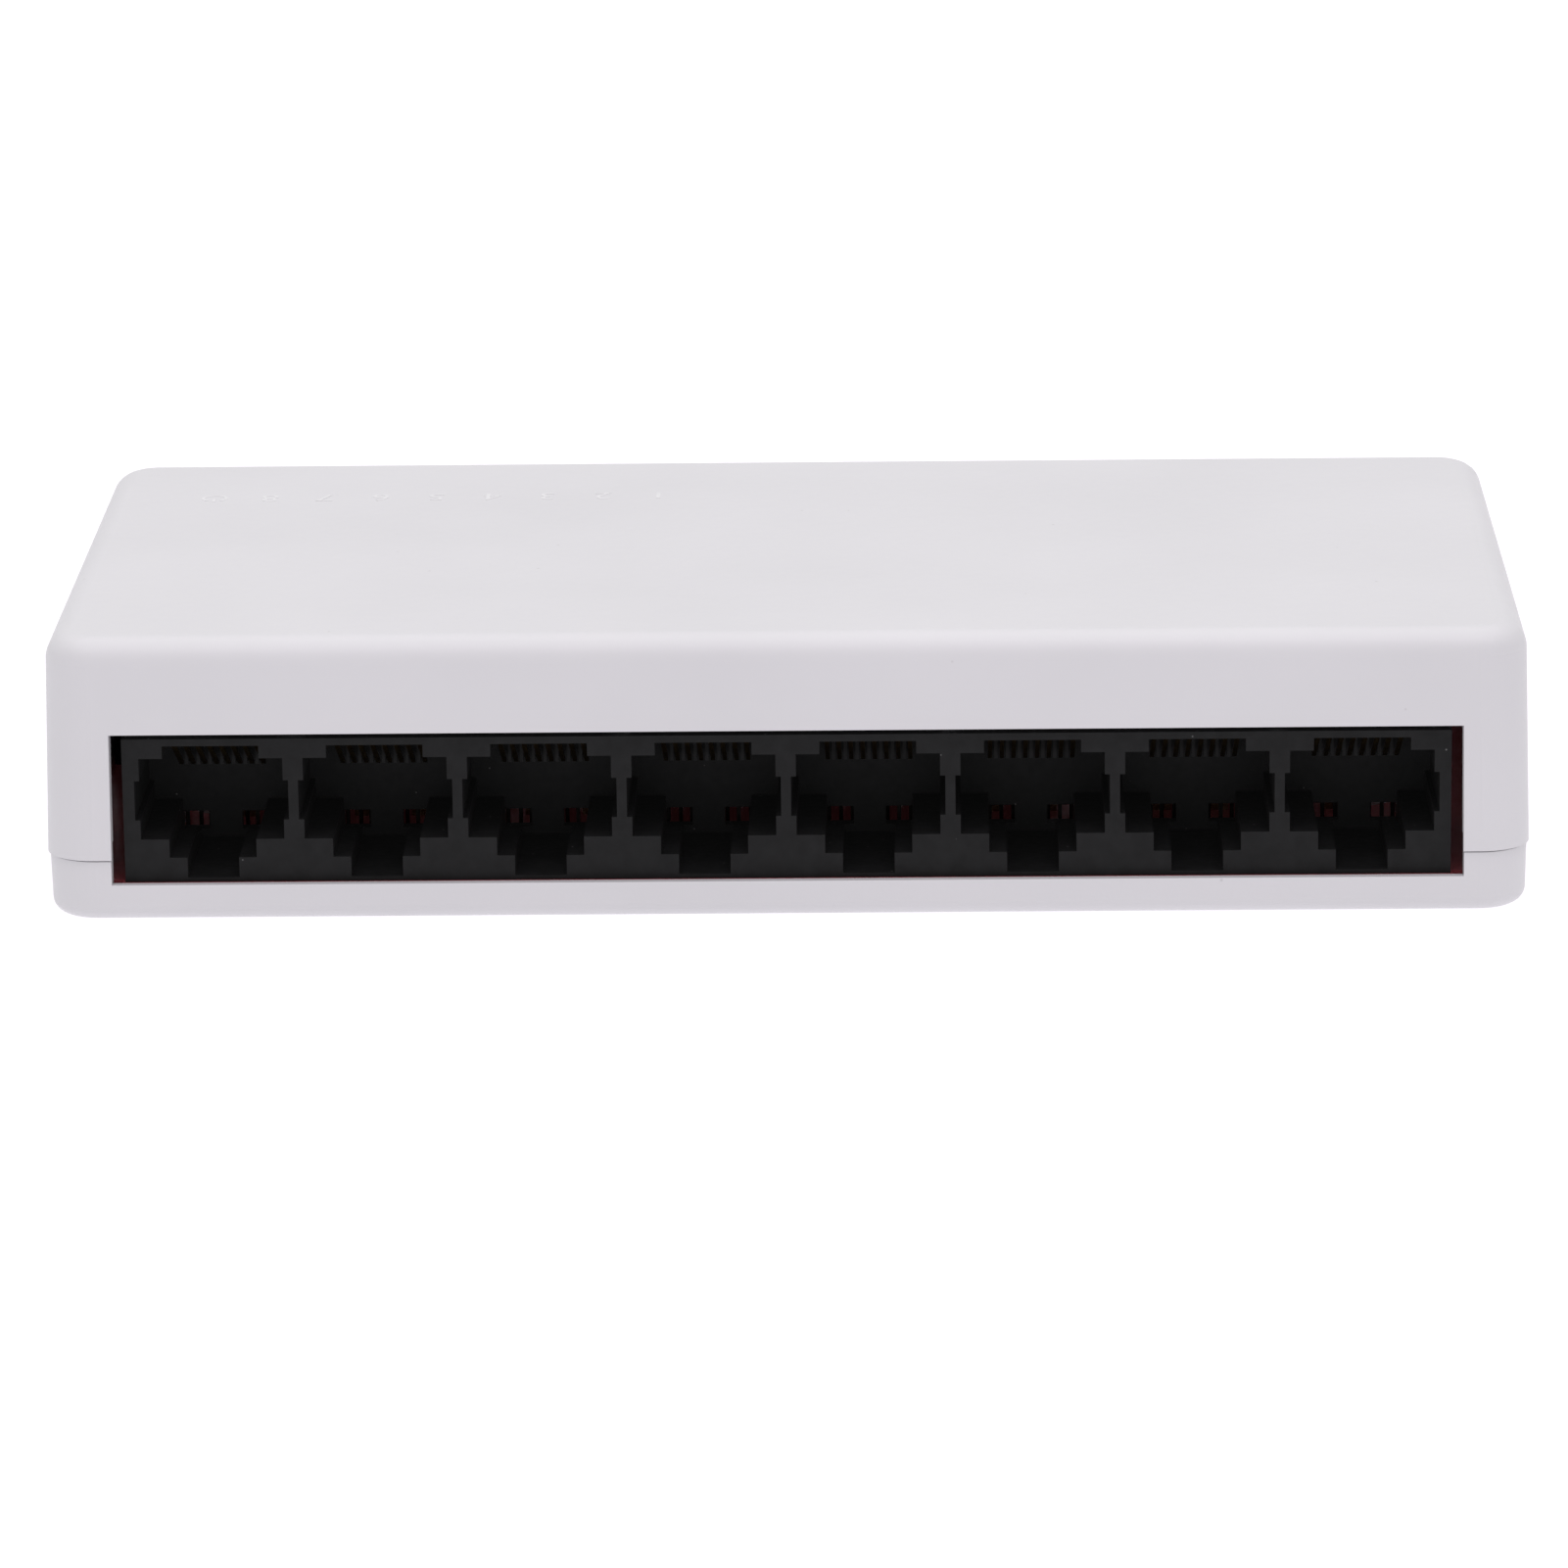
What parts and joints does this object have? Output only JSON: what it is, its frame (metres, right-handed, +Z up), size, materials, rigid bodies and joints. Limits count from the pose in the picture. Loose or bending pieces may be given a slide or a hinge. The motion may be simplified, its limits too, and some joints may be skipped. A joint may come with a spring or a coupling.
{
  "type": "desktop network switch",
  "caption": "Small plastic-cased desktop network switch with a row of latch-down RJ45 sockets in one long front window and a barrel power inlet.",
  "frame": {"origin": "under the middle of the case, on the surface that the feet stand on", "axes": "+X along the row of sockets, to the right when facing them; -Y is the way the sockets open; +Z up"},
  "size_m": [0.1264, 0.068, 0.0258],
  "materials": {
    "shell": "satin moulded ABS, off-white",
    "board": "dark red solder mask over glass laminate",
    "jack": "black moulded plastic",
    "insert": "black moulded plastic",
    "gilt": "gilded spring wire",
    "tail": "tin-plated spring wire",
    "tinned": "tinned",
    "screw": "zinc plated",
    "inlet": "black moulded plastic",
    "foot": "matt",
    "clear": "clear moulded acrylic",
    "lamp": "pale diffuser",
    "package": "moulded epoxy",
    "ferrite": "ferrite",
    "can": "satin",
    "crystal_can": "satin",
    "ceramic": "fired ceramic with tinned ends",
    "resistor": "glazed ceramic with tinned ends"
  },
  "bodies": {
    "case": {"base_shell": "shell", "capacitor_bases": "package", "capacitor_cans": "can", "case_screws": "screw", "chip_capacitors": "ceramic", "chip_resistors": "resistor", "circuit_board": "board", "contact_insert_1": "insert", "contact_insert_2": "insert", "contact_insert_3": "insert", "contact_insert_4": "insert", "contact_insert_5": "insert", "contact_insert_6": "insert", "contact_insert_7": "insert", "contact_insert_8": "insert", "contact_tails_1": "tail", "contact_tails_2": "tail", "contact_tails_3": "tail", "contact_tails_4": "tail", "contact_tails_5": "tail", "contact_tails_6": "tail", "contact_tails_7": "tail", "contact_tails_8": "tail", "crystal": "crystal_can", "dc_jack_body": "inlet", "dc_jack_pin": "tinned", "dc_jack_spring": "tinned", "foot_front_left": "foot", "foot_front_right": "foot", "foot_rear_left": "foot", "foot_rear_right": "foot", "light_guide": "clear", "magnetics_1": "package", "magnetics_2": "package", "magnetics_3": "package", "magnetics_4": "package", "magnetics_leads": "tinned", "power_inductor": "ferrite", "regulator": "package", "regulator_leads": "tinned", "rj45_housing": "jack", "status_leds": "lamp", "switch_chip": "package", "switch_chip_leads": "tinned", "top_shell": "shell"},
    "contacts_1": {"contact_springs_1": "gilt"},
    "contacts_2": {"contact_springs_2": "gilt"},
    "contacts_3": {"contact_springs_3": "gilt"},
    "contacts_4": {"contact_springs_4": "gilt"},
    "contacts_5": {"contact_springs_5": "gilt"},
    "contacts_6": {"contact_springs_6": "gilt"},
    "contacts_7": {"contact_springs_7": "gilt"},
    "contacts_8": {"contact_springs_8": "gilt"}
  },
  "joints": [
    {"name": "contact_lift_1", "type": "hinge", "parent": "case", "child": "contacts_1", "pos_m": [-0.0489, -0.0276, 0.01553], "axis": [1, 0, 0], "range_deg": [0, 20], "stiffness_Nm_per_rad": 0.15},
    {"name": "contact_lift_2", "type": "hinge", "parent": "case", "child": "contacts_2", "pos_m": [-0.03492, -0.0276, 0.01553], "axis": [1, 0, 0], "range_deg": [0, 20], "stiffness_Nm_per_rad": 0.15},
    {"name": "contact_lift_3", "type": "hinge", "parent": "case", "child": "contacts_3", "pos_m": [-0.02096, -0.0276, 0.01553], "axis": [1, 0, 0], "range_deg": [0, 20], "stiffness_Nm_per_rad": 0.15},
    {"name": "contact_lift_4", "type": "hinge", "parent": "case", "child": "contacts_4", "pos_m": [-0.00698, -0.0276, 0.01553], "axis": [1, 0, 0], "range_deg": [0, 20], "stiffness_Nm_per_rad": 0.15},
    {"name": "contact_lift_5", "type": "hinge", "parent": "case", "child": "contacts_5", "pos_m": [0.00698, -0.0276, 0.01553], "axis": [1, 0, 0], "range_deg": [0, 20], "stiffness_Nm_per_rad": 0.15},
    {"name": "contact_lift_6", "type": "hinge", "parent": "case", "child": "contacts_6", "pos_m": [0.02096, -0.0276, 0.01553], "axis": [1, 0, 0], "range_deg": [0, 20], "stiffness_Nm_per_rad": 0.15},
    {"name": "contact_lift_7", "type": "hinge", "parent": "case", "child": "contacts_7", "pos_m": [0.03492, -0.0276, 0.01553], "axis": [1, 0, 0], "range_deg": [0, 20], "stiffness_Nm_per_rad": 0.15},
    {"name": "contact_lift_8", "type": "hinge", "parent": "case", "child": "contacts_8", "pos_m": [0.0489, -0.0276, 0.01553], "axis": [1, 0, 0], "range_deg": [0, 20], "stiffness_Nm_per_rad": 0.15}
  ]
}
